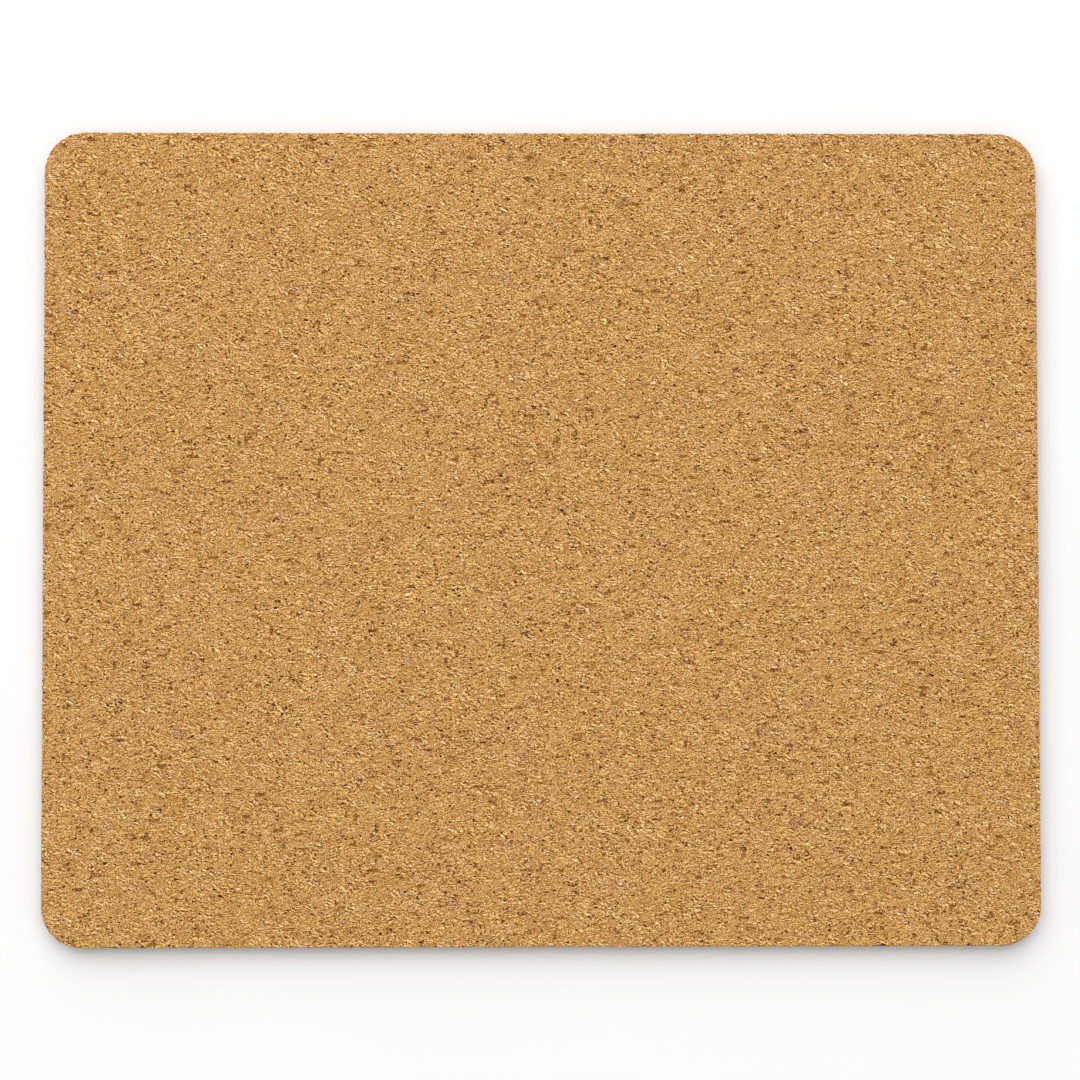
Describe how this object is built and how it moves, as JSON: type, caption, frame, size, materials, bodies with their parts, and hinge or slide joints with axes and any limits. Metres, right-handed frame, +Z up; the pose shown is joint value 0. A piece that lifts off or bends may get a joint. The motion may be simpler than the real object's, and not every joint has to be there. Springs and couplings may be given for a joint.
{
  "type": "desk mat",
  "caption": "Flat rectangular desk mat with rounded corners: a fine-grain cork face bonded to a thin non-slip rubber base, for a mouse, a notebook or a cup.",
  "frame": {"origin": "middle of the underside, on the desk", "axes": "+X along the longer side, +Y along the shorter side, +Z up through the layers to the cork face"},
  "size_m": [0.22, 0.18, 0.004],
  "materials": {
    "cork": "matte agglomerated cork, fine grain, unlacquered",
    "adhesive": "translucent amber glue line",
    "rubber": "matte black, fine non-slip texture"
  },
  "bodies": {
    "root": {"cork_face_sheet": "cork", "adhesive_film": "adhesive", "rubber_base_sheet": "rubber"}
  },
  "joints": []
}
